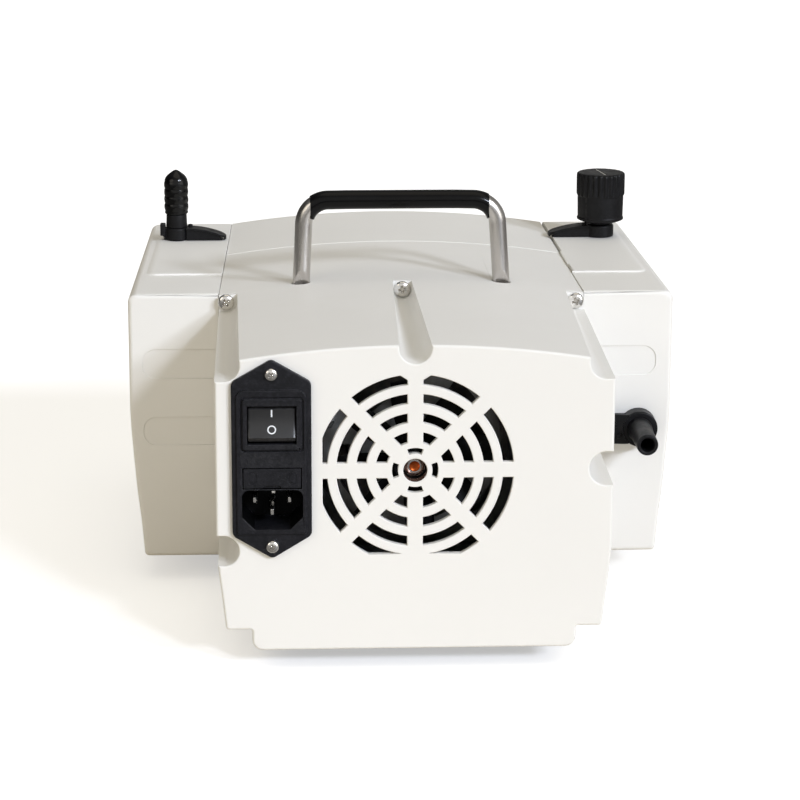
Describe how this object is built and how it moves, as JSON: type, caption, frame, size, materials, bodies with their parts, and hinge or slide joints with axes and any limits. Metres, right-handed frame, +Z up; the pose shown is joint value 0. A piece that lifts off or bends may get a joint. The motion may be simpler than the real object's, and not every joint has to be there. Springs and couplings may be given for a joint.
{
  "type": "portable vacuum pump",
  "caption": "Portable dry vacuum pump: fan-cooled motor under a moulded cover, diaphragm heads under side covers, carrying handle, mains inlet with switch, hose ports and a regulating knob.",
  "frame": {"origin": "on the ground, under the centre of the pump's bounding box", "axes": "+Z up; -Y is the end with the mains inlet and the fan grille; +X is to the right when facing that end; the motor shaft runs along Y"},
  "size_m": [0.2388, 0.2857, 0.1751],
  "materials": {
    "shell": "fine-grained off-white moulded plastic",
    "black_textured": "black moulded plastic, fine spark-eroded texture",
    "rocker_black": "smooth satin black plastic",
    "fitting_black": "black moulded nylon",
    "vinyl_black": "soft glossy black vinyl",
    "rubber": "matt black rubber",
    "steel": "brushed stainless steel",
    "zinc_steel": "zinc plated sheet steel",
    "screw_nickel": "nickel plated screw",
    "bearing_steel": "ground bearing steel",
    "alloy": "die-cast aluminium, matt",
    "iron": "laminated and cast iron, dark",
    "fan_black": "black moulded plastic",
    "fuse_glass": "glass tube with metal end caps"
  },
  "bodies": {
    "housing": {"motor_cover": "shell", "center_cover_rear": "shell", "center_cover_front": "shell", "side_cover_left": "shell", "side_cover_right": "shell", "power_module": "black_textured", "inlet_nozzle": "fitting_black", "outlet_nozzle": "fitting_black", "regulator_body": "fitting_black", "handle_sleeve": "vinyl_black", "foot_rear_left": "rubber", "foot_rear_right": "rubber", "foot_front_left": "rubber", "foot_front_right": "rubber", "diaphragm_left": "rubber", "diaphragm_right": "rubber", "valve_sheet_left": "rubber", "valve_sheet_right": "rubber", "transfer_tube": "rubber", "handle_bar": "steel", "base_plate": "zinc_steel", "frame_plate": "zinc_steel", "cover_screw_top_right": "screw_nickel", "cover_screw_top_left": "screw_nickel", "cover_screw_top_center": "screw_nickel", "cover_screw_lower_left": "screw_nickel", "cover_screw_lower_right": "screw_nickel", "module_screw_top": "screw_nickel", "module_screw_bottom": "screw_nickel", "pin_line": "screw_nickel", "pin_neutral": "screw_nickel", "pin_earth": "screw_nickel", "bearing_rear": "bearing_steel", "bearing_front": "bearing_steel", "motor_bell_rear": "alloy", "crankcase": "alloy", "valve_plate_left": "alloy", "valve_plate_right": "alloy", "head_cover_left": "alloy", "head_cover_right": "alloy", "motor_stator": "iron"},
    "rotor": {"motor_shaft": "steel", "motor_rotor": "iron", "cooling_fan": "fan_black", "eccentric": "iron"},
    "rod_left": {"connecting_rod_left": "alloy", "rod_bearing_left": "bearing_steel", "clamp_disc_left": "alloy"},
    "rod_right": {"connecting_rod_right": "alloy", "rod_bearing_right": "bearing_steel", "clamp_disc_right": "alloy"},
    "rocker": {"rocker_switch": "rocker_black"},
    "fuse_holder": {"fuse_drawer": "black_textured", "fuse": "fuse_glass"},
    "dust_cap": {"inlet_dust_cap": "vinyl_black"},
    "inlet_lock": {"inlet_lever": "fitting_black"},
    "regulator_lock": {"regulator_lever": "fitting_black"},
    "outlet_lock": {"outlet_lever": "fitting_black"},
    "knob": {"regulator_knob": "fitting_black"},
    "needle": {"regulator_needle": "steel"}
  },
  "joints": [
    {"name": "motor_spin", "type": "hinge", "parent": "housing", "child": "rotor", "pos_m": [0, 0.10285, 0.0833], "axis": [0, 1, 0], "continuous": true, "deforming": ["diaphragm_left", "diaphragm_right"]},
    {"name": "rod_left_orbit", "type": "hinge", "parent": "rotor", "child": "rod_left", "pos_m": [0.0025, 0.09785, 0.0833], "axis": [0, 1, 0], "continuous": true},
    {"name": "rod_right_orbit", "type": "hinge", "parent": "rotor", "child": "rod_right", "pos_m": [0.0025, 0.10785, 0.0833], "axis": [0, 1, 0], "continuous": true},
    {"name": "rocker_tilt", "type": "hinge", "parent": "housing", "child": "rocker", "pos_m": [-0.0572, -0.13715, 0.1034], "axis": [1, 0, 0], "range_deg": [0, 20]},
    {"name": "fuse_drawer_slide", "type": "slide", "parent": "housing", "child": "fuse_holder", "axis": [0, -1, 0], "range_m": [0, 0.018]},
    {"name": "dust_cap_pull", "type": "slide", "parent": "housing", "child": "dust_cap", "axis": [0, 0, 1], "range_m": [0, 0.02]},
    {"name": "inlet_lever_turn", "type": "hinge", "parent": "housing", "child": "inlet_lock", "pos_m": [-0.1016, 0.09835, 0.1333], "axis": [0, 0, -1], "range_deg": [0, 90]},
    {"name": "regulator_lever_turn", "type": "hinge", "parent": "housing", "child": "regulator_lock", "pos_m": [0.1008, 0.10085, 0.1333], "axis": [0, 0, 1], "range_deg": [0, 90]},
    {"name": "outlet_lever_turn", "type": "hinge", "parent": "housing", "child": "outlet_lock", "pos_m": [0.105, -0.02415, 0.0694], "axis": [0, 1, 0], "range_deg": [0, 90]},
    {"name": "regulator_turn", "type": "hinge", "parent": "housing", "child": "knob", "pos_m": [0.1008, 0.10085, 0.1493], "axis": [0, 0, 1], "range_deg": [0, 270]},
    {"name": "needle_lift", "type": "slide", "parent": "housing", "child": "needle", "axis": [0, 0, 1], "range_m": [0, 0.0012]}
  ],
  "couplings": [
    {"joint": "rod_left_orbit", "follows": "motor_spin", "ratio": -1},
    {"joint": "rod_right_orbit", "follows": "motor_spin", "ratio": -1},
    {"joint": "needle_lift", "follows": "regulator_turn", "m_per_rad": 0.00023873}
  ]
}
